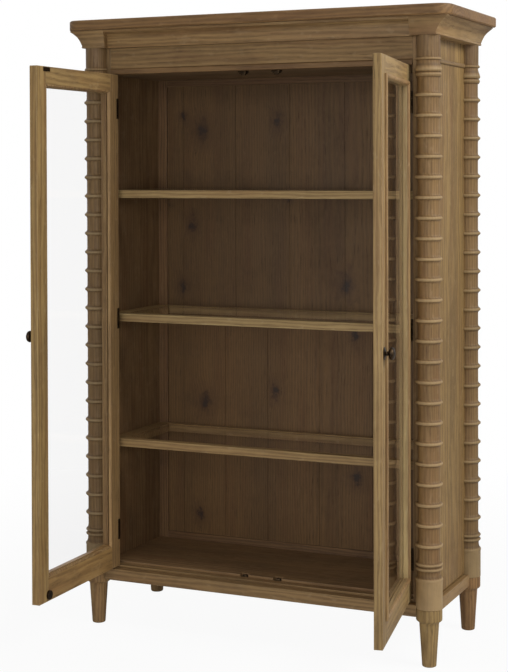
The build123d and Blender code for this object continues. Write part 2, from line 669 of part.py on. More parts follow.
# Doors: stiles and rails round a rebated pane, with a raised mitred moulding on the outer face.
# Each door is drawn on planes through its hinge axis, turned to the angle at which it stands open.
for side, hand in ((-1, "left"), (1, "right")):
    rest = math.radians(left_rest_angle if side < 0 else right_rest_angle)
    across = Vector(-side * math.cos(rest), -math.sin(rest), 0)
    inwards = Vector(-side * math.sin(rest), math.cos(rest), 0)
    hinge_foot = Vector(side * hinge_x, hinge_y, 0)
    plan = Plane(origin=hinge_foot, x_dir=across, z_dir=(0, 0, 1))
    section = Plane(origin=hinge_foot, x_dir=inwards, z_dir=across)
    flip = -side
    far_edge_x = door_edge_x + door_width
    inner_face = knuckle_proud + door_thickness

    stile_sides = {"hinge_stile": (door_edge_x, 1), "meeting_stile": (far_edge_x, -1)}
    door_mid_x = door_edge_x + door_width / 2
    stiles = []
    for name, (edge, turn) in stile_sides.items():
        with BuildPart() as stile:
            with BuildSketch(plan.offset(door_bottom)):
                with BuildLine():
                    outline = [(edge + turn * a, flip * (knuckle_proud + b)) for a, b in rebated(stile_width)]
                    Polyline(*outline, close=True)
                make_face()
            extrude(amount=door_top - door_bottom)
        stiles.append(stile)
        save(stile, f"{hand}_door_{name}")

    rail_sides = {"top_rail": (door_top, -1, stile_width), "bottom_rail": (door_bottom, 1, bottom_rail_width)}
    for name, (edge, turn, width) in rail_sides.items():
        with BuildPart() as rail:
            with BuildSketch(section.offset(door_edge_x)):
                with BuildLine():
                    outline = [(knuckle_proud + b, flip * (edge + turn * a)) for a, b in rebated(width)]
                    Polyline(*outline, close=True)
                make_face()
            extrude(amount=door_width)
            for stile in stiles:
                add(stile.part, mode=Mode.SUBTRACT)
        save(rail, f"{hand}_door_{name}")

    # The moulding follows a rectangle just outside the pane, starting half way along the foot
    sight_low = door_bottom + bottom_rail_width
    sight_high = door_top - stile_width
    run_left = door_edge_x + stile_width - moulding_width
    run_right = far_edge_x - stile_width + moulding_width
    run_low = sight_low - moulding_width
    run_high = sight_high + moulding_width
    face_plane = Plane(
        origin=hinge_foot + inwards * knuckle_proud, x_dir=across, z_dir=across.cross(Vector(0, 0, 1))
    )
    with BuildPart() as moulding:
        with BuildLine(face_plane):
            Polyline(
                (door_mid_x, run_low),
                (run_right, run_low),
                (run_right, run_high),
                (run_left, run_high),
                (run_left, run_low),
                (door_mid_x, run_low),
            )
        section_foot = hinge_foot + inwards * knuckle_proud + across * door_mid_x + Vector(0, 0, run_low)
        with BuildSketch(Plane(origin=section_foot, x_dir=(0, 0, 1), z_dir=across)):
            with BuildLine():
                Polyline(*[(a, flip * b) for a, b in raised_moulding()], close=True)
            make_face()
        sweep(transition=Transition.RIGHT)
    save(moulding, f"{hand}_door_moulding")

    pane_low = door_bottom + bottom_rail_width - rebate_width
    pane_high = door_top - stile_width + rebate_width
    pane_width = door_width - 2 * (stile_width - rebate_width)
    with BuildPart() as door_glass:
        with BuildSketch(plan.offset(pane_low + glass_clearance)):
            pane_depth_y = knuckle_proud + rebate_depth + glass_thickness / 2
            with Locations((door_mid_x, flip * pane_depth_y)):
                Rectangle(pane_width - 2 * glass_clearance, glass_thickness)
        extrude(amount=pane_high - pane_low - 2 * glass_clearance)
    save(door_glass, f"{hand}_door_glass")

    with BuildPart() as beads:
        with BuildSketch(plan.offset(pane_low)):
            for edge, turn in stile_sides.values():
                with BuildLine():
                    bead = bead_section(stile_width)
                    outline = [(edge + turn * a, flip * (knuckle_proud + b)) for a, b in bead]
                    Polyline(*outline, close=True)
                make_face()
        extrude(amount=pane_high - pane_low)
        bead_start = stile_width - bead_setback + joint_line
        with BuildSketch(section.offset(door_edge_x + bead_start)):
            for edge, turn, width in rail_sides.values():
                with BuildLine():
                    outline = [(knuckle_proud + b, flip * (edge + turn * a)) for a, b in bead_section(width)]
                    Polyline(*outline, close=True)
                make_face()
        extrude(amount=door_width - 2 * bead_start)
    save(beads, f"{hand}_door_glazing_beads")

    with BuildPart() as door_leaves:
        draw_hinge_halves(plan, flip, 1, door_thickness + leaf_thickness, (1,), leaf_return)
    save(door_leaves, f"{hand}_door_hinge_leaves")

    knob_foot = hinge_foot + across * (far_edge_x - knob_inset) + inwards * knuckle_proud
    knob_foot = knob_foot + Vector(0, 0, knob_height)
    with BuildPart() as knob:
        with BuildSketch(Plane(origin=knob_foot, x_dir=across, z_dir=(0, 0, 1))):
            with BuildLine():
                outline = [
                    (0, 0),
                    (knob_plate_radius, 0),
                    (knob_plate_radius, knob_plate_thickness),
                    (knob_neck_radius, knob_plate_thickness + 2.0),
                    (knob_neck_radius, knob_projection - knob_head_height),
                    (knob_head_radius, knob_projection - knob_head_height / 2),
                    (knob_head_radius - 3.0, knob_projection - knob_head_height / 6),
                    (knob_head_radius / 2, knob_projection),
                    (0, knob_projection),
                ]
                Polyline(*[(radius, -flip * out) for radius, out in outline], close=True)
            make_face()
        revolve(axis=Axis(knob_foot, inwards * -1))
    save(knob, f"{hand}_door_knob")

    strike_x = far_edge_x - strike_inset
    with BuildPart() as strikes:
        disc_centre = hinge_foot + across * strike_x + inwards * inner_face + Vector(0, 0, strike_disc_height)
        with BuildSketch(Plane(origin=disc_centre, x_dir=across, z_dir=inwards)):
            Circle(strike_disc_radius)
        extrude(amount=strike_disc_thickness)
        with BuildSketch(plan.offset(strike_plate_height - strike_plate_size[1] / 2)):
            with Locations((strike_x, flip * (inner_face + strike_plate_thickness / 2))):
                Rectangle(strike_plate_size[0], strike_plate_thickness)
        extrude(amount=strike_plate_size[1])
    save(strikes, f"{hand}_door_strikes")

# The carcass's own halves of the hinges, and the pins that join each pair of halves
with BuildPart() as jamb_leaves:
    for side in (-1, 1):
        jamb = Plane(origin=(side * hinge_x, hinge_y, 0), x_dir=(-side, 0, 0), z_dir=(0, 0, 1))
        draw_hinge_halves(jamb, -side, -1, stile_thickness - 2.0, (0, 2))
save(jamb_leaves, "jamb_hinge_leaves")

with BuildPart() as hinge_pins:
    for height in hinge_heights:
        with BuildSketch(Plane.XY.offset(height - hinge_length / 2)):
            with Locations((-hinge_x, hinge_y), (hinge_x, hinge_y)):
                Circle(pin_radius)
        extrude(amount=hinge_length)
        with BuildSketch(Plane.XY.offset(height + hinge_length / 2)):
            with Locations((-hinge_x, hinge_y), (hinge_x, hinge_y)):
                Circle(pin_head_radius)
        extrude(amount=pin_head_height)
save(hinge_pins, "hinge_pins")

# Catches inside the case, one for each strike
door_back_y = front_face_y + door_thickness
with BuildPart() as door_catches:
    for side in (-1, 1):
        upper_y = door_back_y + strike_plate_thickness + catch_clearance + catch_size_y / 2
        with BuildSketch(Plane.XY.offset(ceiling_bottom - upper_catch_height)):
            with Locations((side * catch_x, upper_y)):
                Rectangle(catch_size_x, catch_size_y)
        extrude(amount=upper_catch_height)
        with BuildSketch(Plane.XY.offset(floor_top - floor_thickness)):
            with Locations((side * catch_x, lower_catch_y)):
                Rectangle(catch_size_x, catch_size_y - 2 * catch_clearance)
        extrude(amount=floor_thickness + lower_catch_height)
save(door_catches, "door_catches")
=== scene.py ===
# %% [markdown]
# # A glazed oak display cabinet
# The cabinet is a box of oak boards between four turned corner posts, with two
# glazed doors, three glazed shelves and a moulded cornice under a thick top.
# The CAD model comes in first and stays as the frame. Flat boards keep their
# CAD shape and get a finish here. What is turned, run as a moulding or cast, which
# is the posts, legs, cornice, knobs and catches, is made again with a finer shape.

# %% Load the frame
import json
from math import cos, radians, sin

import bpy
from mathutils import Matrix, Vector

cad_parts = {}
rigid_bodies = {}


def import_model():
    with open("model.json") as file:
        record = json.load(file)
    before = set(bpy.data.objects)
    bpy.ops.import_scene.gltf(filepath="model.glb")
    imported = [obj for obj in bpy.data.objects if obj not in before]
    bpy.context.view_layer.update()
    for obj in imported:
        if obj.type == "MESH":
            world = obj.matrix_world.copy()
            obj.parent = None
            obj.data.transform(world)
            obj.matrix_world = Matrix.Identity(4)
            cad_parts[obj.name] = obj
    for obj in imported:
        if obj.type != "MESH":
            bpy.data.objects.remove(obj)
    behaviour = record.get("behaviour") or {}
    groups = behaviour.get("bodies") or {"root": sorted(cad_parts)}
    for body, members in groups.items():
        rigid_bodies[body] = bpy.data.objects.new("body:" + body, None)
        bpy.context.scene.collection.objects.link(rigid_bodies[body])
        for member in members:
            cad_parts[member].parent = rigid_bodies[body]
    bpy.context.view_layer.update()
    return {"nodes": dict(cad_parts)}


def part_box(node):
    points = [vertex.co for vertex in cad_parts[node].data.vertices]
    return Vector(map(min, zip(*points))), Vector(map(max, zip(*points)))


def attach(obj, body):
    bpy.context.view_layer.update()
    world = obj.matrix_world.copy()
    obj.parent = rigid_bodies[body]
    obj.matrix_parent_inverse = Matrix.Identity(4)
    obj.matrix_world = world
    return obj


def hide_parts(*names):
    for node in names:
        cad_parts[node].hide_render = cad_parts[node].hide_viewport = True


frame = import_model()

mm = 0.001
nodes = frame["nodes"]
bpy.ops.object.select_all(action="DESELECT")

# %% [markdown]
# ## Camera
# The picture was taken from the right, with the camera held almost level at about eye
# height and its view shifted down, so that upright edges stay upright. A long lens from
# about five metres gives the same calm perspective.

# %% Camera
CAMERA_PLACE = (2.1096, -4.6458, 1.5808)
CAMERA_TURN = (89.2257, 0.1732, 24.2931)
LENS_MM, SENSOR_MM, VIEW_SHIFT = 82.559, 36, -0.216
lens = bpy.data.cameras.new("camera")
lens.lens = LENS_MM
lens.sensor_width = SENSOR_MM
lens.shift_y = VIEW_SHIFT
camera = bpy.data.objects.new("camera", lens)
camera.location = CAMERA_PLACE
camera.rotation_euler = [radians(angle) for angle in CAMERA_TURN]
bpy.context.scene.collection.objects.link(camera)
bpy.context.scene.camera = camera
print("camera at", tuple(camera.location), "lens", lens.lens)

# %% [markdown]
# ## Light
# A soft lamp high on the right lights the side of the carcass and draws a shine and a
# shadow on each ring of the posts. A broader one in front lights the front about as
# much, and a weak one behind keeps the back readable. The world is dim and even, so
# the inside stays darker than the outside, as it does in a real cabinet.

# %% Lamps
def lamp(name, place, aim, size, watts):
    """A square soft lamp at a place, turned to face a point."""
    light = bpy.data.lights.new(name, "AREA")
    light.size = size
    light.energy = watts
    holder = bpy.data.objects.new(name, light)
    holder.location = place
    holder.rotation_euler = (Vector(aim) - Vector(place)).to_track_quat("-Z", "Y").to_euler()
    bpy.context.scene.collection.objects.link(holder)


lamp("key_lamp", place=(4.6, -0.3, 4.2), aim=(0.4, 0.1, 1.0), size=2.2, watts=175)
lamp("front_lamp", place=(1.4, -6.0, 1.9), aim=(0, 0, 1.0), size=3.0, watts=132)
lamp("back_lamp", place=(-3.4, 5.2, 2.8), aim=(0, 0.3, 1.1), size=3.0, watts=60)
bpy.context.scene.view_settings.view_transform = "Standard"
print("lamps ready:", len(bpy.data.lights))

# %% [markdown]
# Each shader node is added by one helper. A value that is a socket becomes a
# link, and any other value is set on the node, so a recipe reads as a list.

# %% Helpers for shader nodes
def shade(tree, kind, sockets=None, **settings):
    """Adds a shader node, sets its plain values and links the sockets it is given."""
    made = tree.nodes.new("ShaderNode" + kind)
    for name, value in settings.items():
        setattr(made, name, value)
    for name, value in (sockets or {}).items():
        if isinstance(value, bpy.types.NodeSocket):
            tree.links.new(value, made.inputs[name])
        else:
            made.inputs[name].default_value = value
    return made


def figure(tree, operation, first, second=0.0):
    """One step of arithmetic between sockets or numbers."""
    return shade(tree, "Math", {0: first, 1: second}, operation=operation).outputs[0]


def arrow(tree, operation, first, second):
    """One step of arithmetic between vectors."""
    return shade(tree, "VectorMath", {0: first, 1: second}, operation=operation).outputs[0]


def length(tree, vector):
    """How long a vector is."""
    return shade(tree, "VectorMath", {0: vector}, operation="LENGTH").outputs["Value"]


def spread(tree, value, low, high, to_low=0.0, to_high=1.0):
    """Stretches a value from one range to another and keeps it there."""
    ranges = {"Value": value, "From Min": low, "From Max": high, "To Min": to_low, "To Max": to_high}
    return shade(tree, "MapRange", ranges).outputs["Result"]


def blended(tree, share, first, second, how="MIX"):
    """Mixes two colours by a share."""
    made = shade(tree, "Mix", {0: share, 6: first, 7: second}, data_type="RGBA", blend_type=how)
    return made.outputs[2]


def mapped(tree, place, **settings):
    """A place after it is moved, turned or scaled."""
    return shade(tree, "Mapping", {"Vector": place, **settings}).outputs[0]


def noise(tree, place, scale, detail, roughness=0.5):
    """A cloudy pattern, with about as many clouds to the metre as its scale."""
    sockets = {"Vector": place, "Scale": scale, "Detail": detail, "Roughness": roughness}
    return shade(tree, "TexNoise", sockets).outputs["Fac"]


def emptied(owner):
    """The node tree of a material or a world, with nothing in it yet."""
    owner.use_nodes = True
    owner.node_tree.nodes.clear()
    return owner.node_tree


def dress(piece, finish):
    """Gives a piece one finish in place of those it had."""
    piece.data.materials.clear()
    piece.data.materials.append(finish)


print("shader helpers ready")

# %% [markdown]
# The background is white to the eye, in mirrors and through glass, but it lights the
# cabinet only dimly. A photographer gets the same from a lit white wall that is far
# behind the object.

# %% World
ROOM_COLOUR, ROOM_STRENGTH = (1.0, 0.99, 0.97, 1), 0.16
WHITE = (1, 1, 1, 1)
world = bpy.data.worlds.new("studio")
bpy.context.scene.world = world
sky = emptied(world)
path = shade(sky, "LightPath")
seen = figure(sky, "MAXIMUM", path.outputs["Is Camera Ray"], path.outputs["Is Transmission Ray"])
seen = figure(sky, "MAXIMUM", seen, path.outputs["Is Glossy Ray"])
room = shade(sky, "Background", {"Color": ROOM_COLOUR, "Strength": ROOM_STRENGTH})
white = shade(sky, "Background", {"Color": WHITE, "Strength": 1.0})
both = shade(sky, "MixShader", {0: seen, 1: room.outputs[0], 2: white.outputs[0]})
shade(sky, "OutputWorld", {"Surface": both.outputs[0]})
print("world ready")

# %% [markdown]
# The floor is white paper. Near the cabinet it takes its shadow, and further out
# it fades into the white background, so that no edge shows where the two meet.

# %% Floor
FLOOR_SIZE = 60
FADE_START, FADE_END, GLOW_NEAR = 0.9, 3.2, 0.94
PAPER = (0.86, 0.86, 0.85, 1)
bpy.ops.mesh.primitive_plane_add(size=FLOOR_SIZE, location=(0, 0, 0))
floor = bpy.context.object
floor.name = "studio_floor"
paper = bpy.data.materials.new("studio_paper")
tree = emptied(paper)
path = shade(tree, "LightPath")
far = length(tree, shade(tree, "TexCoord").outputs["Object"])
fade = spread(tree, far, FADE_START, FADE_END, GLOW_NEAR, 1.0)
seen = figure(tree, "MULTIPLY", path.outputs["Is Camera Ray"], fade)
matt = shade(tree, "BsdfDiffuse", {"Color": PAPER})
glow = shade(tree, "Emission", {"Color": WHITE, "Strength": 1.0})
both = shade(tree, "MixShader", {0: seen, 1: matt.outputs[0], 2: glow.outputs[0]})
shade(tree, "OutputMaterial", {"Surface": both.outputs[0]})
dress(floor, paper)
bpy.ops.object.select_all(action="DESELECT")
print("floor ready")

# %% [markdown]
# ## Oak
# Oak shows dark late-wood lines where each year's growth stopped, long open
# pores, pale flecks where a saw met the rays, and here and there a knot.
# The recipe puts rings of growth round a pith that lies beside the board, and
# draws them out along the grain, so each board gets lines that suit its cut.

# %% Where a piece's grain runs
def grain_frame(piece, along):
    """The turn that takes Z to the grain, and the piece's centre and half size in that frame."""
    turn = Vector(along).to_track_quat("Z", "Y")
    back = turn.inverted()
    points = [back @ v.co for v in piece.data.vertices]
    low = Vector([min(p[i] for p in points) for i in range(3)])
    high = Vector([max(p[i] for p in points) for i in range(3)])
    return turn, turn @ ((low + high) / 2), (high - low) / 2


print("grain frames ready")

# %% [markdown]
# Wear shows first along edges. A point near an edge is close to two faces of its
# board at once, so the second smallest of its three distances to the faces is the
# distance to the nearest edge.

# %% Distance to a board's edges
def edge_distance(tree, local, half):
    """The distance from a point on a board to its nearest edge."""
    split = shade(tree, "SeparateXYZ", {0: local})
    gaps = []
    for i in range(3):
        off = figure(tree, "ABSOLUTE", split.outputs[i])
        gaps.append(figure(tree, "SUBTRACT", half[i], off))
    small = figure(tree, "MINIMUM", gaps[0], gaps[1])
    large = figure(tree, "MAXIMUM", gaps[0], gaps[1])
    return figure(tree, "MAXIMUM", small, figure(tree, "MINIMUM", large, gaps[2]))


print("edge distance ready")

# %% [markdown]
# A few colours make up the old waxed wood: pale early wood, dark late wood, a redder
# heart, and what time adds to them, such as rubbed edges and dirt in the hollows, which on
# turned pieces also serve as painted highlight and painted shade. A tone then makes one
# board darker, paler or warmer than another, and on many pieces it also paints the
# light or shade that falls on them.

# %% Colours of the oak
OAK_LIGHT = (0.330, 0.203, 0.083)
OAK_DARK = (0.150, 0.083, 0.031)
OAK_RED = (0.225, 0.110, 0.041)
FLECK = (0.42, 0.30, 0.17)
PORE = (0.070, 0.040, 0.019)
RUB_AND_HIGHLIGHT = (0.50, 0.36, 0.19)
GRIME_AND_SHADE = (0.085, 0.052, 0.027)
KNOT_RIM = (0.080, 0.040, 0.018)
KNOT_HEART = (0.022, 0.012, 0.007)


def tinted(colour, tone):
    """A colour made darker or lighter by one factor, or by one for each of red, green and blue."""
    factors = tone if isinstance(tone, tuple) else (tone, tone, tone)
    return tuple(channel * factor for channel, factor in zip(colour[:3], factors)) + (1.0,)


print("colours of the oak: 9")

# %% [markdown]
# The finish is put together from things a joiner would name: growth rings, streaks,
# warmer and cooler patches, pores, ray flecks, a rubbed edge and old wax dirt.
# Each is a noise or a wave that is stretched along the grain.

# %% Patterns in the wood
GROWN_ALONG, PORE_ALONG, RAY_STRETCH = (1, 1, 0.10), (1, 1, 0.035), (1, 0.35, 0.22)
STREAK_SCALE, BAND_SCALE, BROAD_SCALE = 70.0, 21.0, 6.0
PORE_SCALE, RAY_SCALE, DIRT_SCALE = 560.0, 150.0, 7.0
FLECK_SHARE = 0.5
RING_SHARE, STREAK_SHARE, BAND_SHARE = 0.40, 0.60, 0.55
RING_WAVE = {"Distortion": 9.0, "Detail": 3.0, "Detail Scale": 0.8, "Detail Roughness": 0.6}


def grown_place(tree, local, seed):
    """A point's place in the log, drawn out along the grain, with the pith off to one side."""
    pith = (0.09 + 0.031 * (seed * 7 % 5), 0.05 + 0.023 * (seed * 3 % 7), 1.7 * seed)
    tilt = (0.012 * (seed % 3 - 1) + 0.006, 0.02 * (seed * 5 % 4 - 1.5), 0)
    return mapped(tree, local, Location=pith, Rotation=tilt, Scale=GROWN_ALONG)


def growth_rings(tree, grown, rings):
    """The wavy rings of yearly growth."""
    sockets = {"Vector": grown, "Scale": rings, **RING_WAVE}
    return shade(tree, "TexWave", sockets, wave_type="RINGS", rings_direction="Z").outputs["Fac"]


def open_pores(tree, local, ring):
    """Short dark pores along the grain, more of them on the late wood."""
    pore = noise(tree, mapped(tree, local, Scale=PORE_ALONG), PORE_SCALE, 2.0)
    pore = spread(tree, pore, 0.58, 0.68)
    return figure(tree, "MULTIPLY", pore, spread(tree, ring, 0.25, 0.8, 0.35, 1.0))


def ray_flecks(tree, local):
    """Pale flecks where the saw ran along the rays."""
    ray = noise(tree, mapped(tree, local, Scale=RAY_STRETCH), RAY_SCALE, 1.0)
    return spread(tree, ray, 0.62, 0.72, 0.0, FLECK_SHARE)


print("patterns ready")

# %% [markdown]
# A knot is where a branch left the trunk. The growth lines part round it and its
# heart is dark, so it bends the ring pattern and darkens the colour. A noise makes
# its outline ragged. Its place is given across and along the board from the board's
# middle, and its size is about its radius in metres.

# %% Knots
KNOT_FLATTEN, PUSH_REACH, PUSH_SHARE = 0.62, 3.2, 0.9
WANDER_SCALE, WANDER_REACH = 42.0, (0.05, 0.05, 0.09)
# A zone is full up to the first radius and gone at the second, both in knot sizes. The
# third number is the share of its paint.
STAIN_ZONE, RIM_ZONE, HEART_ZONE = (0.8, 3.0, 0.55), (0.5, 1.3, 0.85), (0.30, 0.75, 0.95)
STAIN_TONE = 0.62


def knot_distances(tree, local, knots):
    """For each knot, how far a point is from its middle, and the knot's size."""
    settings = {"Vector": local, "Scale": WANDER_SCALE, "Detail": 4.0, "Roughness": 0.7}
    wander = shade(tree, "TexNoise", settings).outputs["Color"]
    wander = arrow(tree, "SUBTRACT", wander, (0.5, 0.5, 0.5))
    ragged = arrow(tree, "ADD", local, arrow(tree, "MULTIPLY", wander, WANDER_REACH))
    distances = []
    for across, along, size in knots:
        middle = (-across, 0, -KNOT_FLATTEN * along)
        flat = mapped(tree, ragged, Location=middle, Scale=(1, 0, KNOT_FLATTEN))
        distances.append((length(tree, flat), size))
    return distances


def round_knots(tree, local, grown, knots):
    """Pushes the growth rings aside round each knot."""
    for far, size in knot_distances(tree, local, knots):
        push = spread(tree, far, 0.0, PUSH_REACH * size, PUSH_SHARE * size, 0.0)
        aside = shade(tree, "CombineXYZ", {0: push, 1: push}).outputs[0]
        grown = arrow(tree, "ADD", grown, aside)
    return grown


def dark_knots(tree, local, colour, knots, tone):
    """Paints the stain, the brown rim and the dark heart of each knot."""
    zones = ((STAIN_ZONE, tinted(tinted(OAK_RED, tone), STAIN_TONE)),
             (RIM_ZONE, tinted(KNOT_RIM, tone)),
             (HEART_ZONE, tinted(KNOT_HEART, 1.0)))
    for far, size in knot_distances(tree, local, knots):
        for (full, gone, share), paint in zones:
            zone = spread(tree, far, full * size, gone * size, share, 0.0)
            colour = blended(tree, zone, colour, paint)
    return colour


print("knots ready")

# %% [markdown]
# The crests of the turned rings are made pale, partly as rubbed wear and partly as a
# painted highlight, and the hollow at their foot is darkened, partly as dirt and partly
# as painted shade. On a post both follow from the distance to the lathe's axis.
# On a board the rubbed places lie along its edges.

# %% Wear, dirt, painted highlight and painted shade
CREST_RADII = (0.0395, 0.0428)
HOLLOW_STARTS, HOLLOW_ENDS, HOLLOW_SHARE = (0.0363, 0.0385), (0.0385, 0.0402), 0.45
EDGE_WANDER, EDGE_WIDTH = (-0.0012, 0.0016), 0.0035


def turned_wear_and_shade(tree, place, lathe_axis, colour, tone):
    """Dirt and painted shade in the hollows of a turned piece, and the share by which its crests are
    rubbed pale and given a painted highlight.
    """
    axis_off = (-lathe_axis[0], -lathe_axis[1], 0)
    radius = length(tree, mapped(tree, place, Location=axis_off, Scale=(1, 1, 0)))
    # painted highlight with rubbed wear: the crests of the rings are made paler
    worn = spread(tree, radius, *CREST_RADII, 0.0, 1.0)
    # painted shade with some dirt: the hollow at the foot of each ring is darkened
    hollow = spread(tree, radius, *HOLLOW_STARTS, 0.0, 1.0)
    hollow = figure(tree, "MULTIPLY", hollow, spread(tree, radius, *HOLLOW_ENDS, HOLLOW_SHARE, 0.0))
    return blended(tree, hollow, colour, tinted(GRIME_AND_SHADE, tone)), worn


def edge_wear(tree, local, half, streak, wear):
    """The share by which a board is rubbed, which falls off from its edges unevenly."""
    uneven = spread(tree, streak, 0.3, 0.7, *EDGE_WANDER)
    rough_edge = figure(tree, "ADD", edge_distance(tree, local, half), uneven)
    return spread(tree, rough_edge, 0.0, EDGE_WIDTH, wear, 0.0)


print("wear ready")

# %% [markdown]
# One finish is made for each piece, since each board comes from its own place in a
# log. The wood is waxed, so it is not very glossy, and the pores and the late wood
# lie a little lower than the rest. Where a range has four numbers, the first two are
# values of the pattern and the last two are what they become.

# %% Oak finish
LATE_WOOD, RED_BANDS, SHADE_SHIFT = (0.50, 1.12), (0.50, 0.72, 0.0, 0.45), (0.32, 0.70, 0.84, 1.16)
DIRT_PATCHES, ROUGHNESS = (0.50, 0.75, 0.0, 0.30), (0.3, 0.7, 0.50, 0.64)
RAY_SHARE, PORE_SHARE, RUB_AND_HIGHLIGHT_SHARE = 0.35, 0.60, 0.6
LATE_DEPTH, BUMP_STRENGTH, BUMP_DEPTH, PORE_ROUGH, WAX_GLOSS = -0.25, 0.5, 0.0005, 0.2, 0.36


def oak(piece, along, tone, seed, rings=28.0, wear=0.5, knots=(), lathe_axis=None, contrast=0.8):
    """Waxed oak with its grain along a direction, cut from a place in the log that the seed gives."""
    turn, centre, half = grain_frame(piece, along)
    made = bpy.data.materials.new("oak_" + piece.name)
    tree = emptied(made)
    place = shade(tree, "TexCoord").outputs["Object"]
    sockets = {"Vector": place, "Location": centre, "Rotation": turn.to_euler()}
    local = shade(tree, "Mapping", sockets, vector_type="TEXTURE").outputs[0]
    grown = grown_place(tree, local, seed)
    if knots:
        grown = round_knots(tree, local, grown, knots)
    ring = growth_rings(tree, grown, rings)
    streak = noise(tree, grown, STREAK_SCALE, 6.0, 0.66)
    band = noise(tree, grown, BAND_SCALE, 3.0, 0.55)
    broad = noise(tree, grown, BROAD_SCALE, 2.0)
    pore = open_pores(tree, local, ring)
    ray = ray_flecks(tree, local)

    ring_part = figure(tree, "MULTIPLY", ring, RING_SHARE)
    late = figure(tree, "ADD", ring_part, figure(tree, "MULTIPLY", streak, STREAK_SHARE))
    late = figure(tree, "ADD", late, figure(tree, "MULTIPLY", band, BAND_SHARE))
    late = spread(tree, late, *LATE_WOOD, 0.5 - 0.5 * contrast, 0.5 + 0.5 * contrast)
    colour = blended(tree, late, tinted(OAK_LIGHT, tone), tinted(OAK_DARK, tone))
    colour = blended(tree, spread(tree, band, *RED_BANDS), colour, tinted(OAK_RED, tone))
    shift = spread(tree, broad, *SHADE_SHIFT)
    grey = shade(tree, "CombineColor", {0: shift, 1: shift, 2: shift}).outputs[0]
    colour = blended(tree, 1.0, colour, grey, "MULTIPLY")
    colour = blended(tree, figure(tree, "MULTIPLY", ray, RAY_SHARE), colour, tinted(FLECK, tone))
    if knots:
        colour = dark_knots(tree, local, colour, knots, tone)
    colour = blended(tree, figure(tree, "MULTIPLY", pore, PORE_SHARE), colour, tinted(PORE, tone))
    # On a turned piece the crests get a pale rub with a painted highlight and the hollows dirt with
    # painted shade; on a board only the edges are rubbed pale.
    if lathe_axis:
        colour, worn = turned_wear_and_shade(tree, place, lathe_axis, colour, tone)
    else:
        worn = edge_wear(tree, local, half, streak, wear)
    colour = blended(tree, figure(tree, "MULTIPLY", worn, RUB_AND_HIGHLIGHT_SHARE), colour, tinted(RUB_AND_HIGHLIGHT, tone))
    dirt = noise(tree, local, DIRT_SCALE, 6.0, 0.7)
    colour = blended(tree, spread(tree, dirt, *DIRT_PATCHES), colour, tinted(GRIME_AND_SHADE, tone))

    rough = spread(tree, dirt, *ROUGHNESS)
    rough = figure(tree, "ADD", rough, figure(tree, "MULTIPLY", pore, PORE_ROUGH))
    height = figure(tree, "SUBTRACT", figure(tree, "MULTIPLY", late, LATE_DEPTH), pore)
    bump = shade(tree, "Bump", {"Height": height, "Strength": BUMP_STRENGTH, "Distance": BUMP_DEPTH})
    skin = shade(tree, "BsdfPrincipled", {
        "Base Color": colour, "Roughness": rough,
        "Normal": bump.outputs[0], "Specular IOR Level": WAX_GLOSS})
    shade(tree, "OutputMaterial", {"Surface": skin.outputs[0]})
    return made


print("oak ready")

# %% [markdown]
# ## Boards
# Stiles and panels have their grain upright, and rails, shelves and the top have
# theirs along their length, because wood is strong along the grain and moves across
# it. A saw leaves sharp edges that a joiner takes off with one pass of a plane, so
# each board gets a small bevel. The doors' mouldings are left without one, since they
# have a profile already. Each line gives a board's grain, tone and place in the log.
# The tone also paints light and shade: it is raised on the doors' stiles, rails and
# mouldings and on the shelf frames as painted light, and lowered on the inner left side
# panel, floor, ceiling and back frame as painted shade of the closed inside.

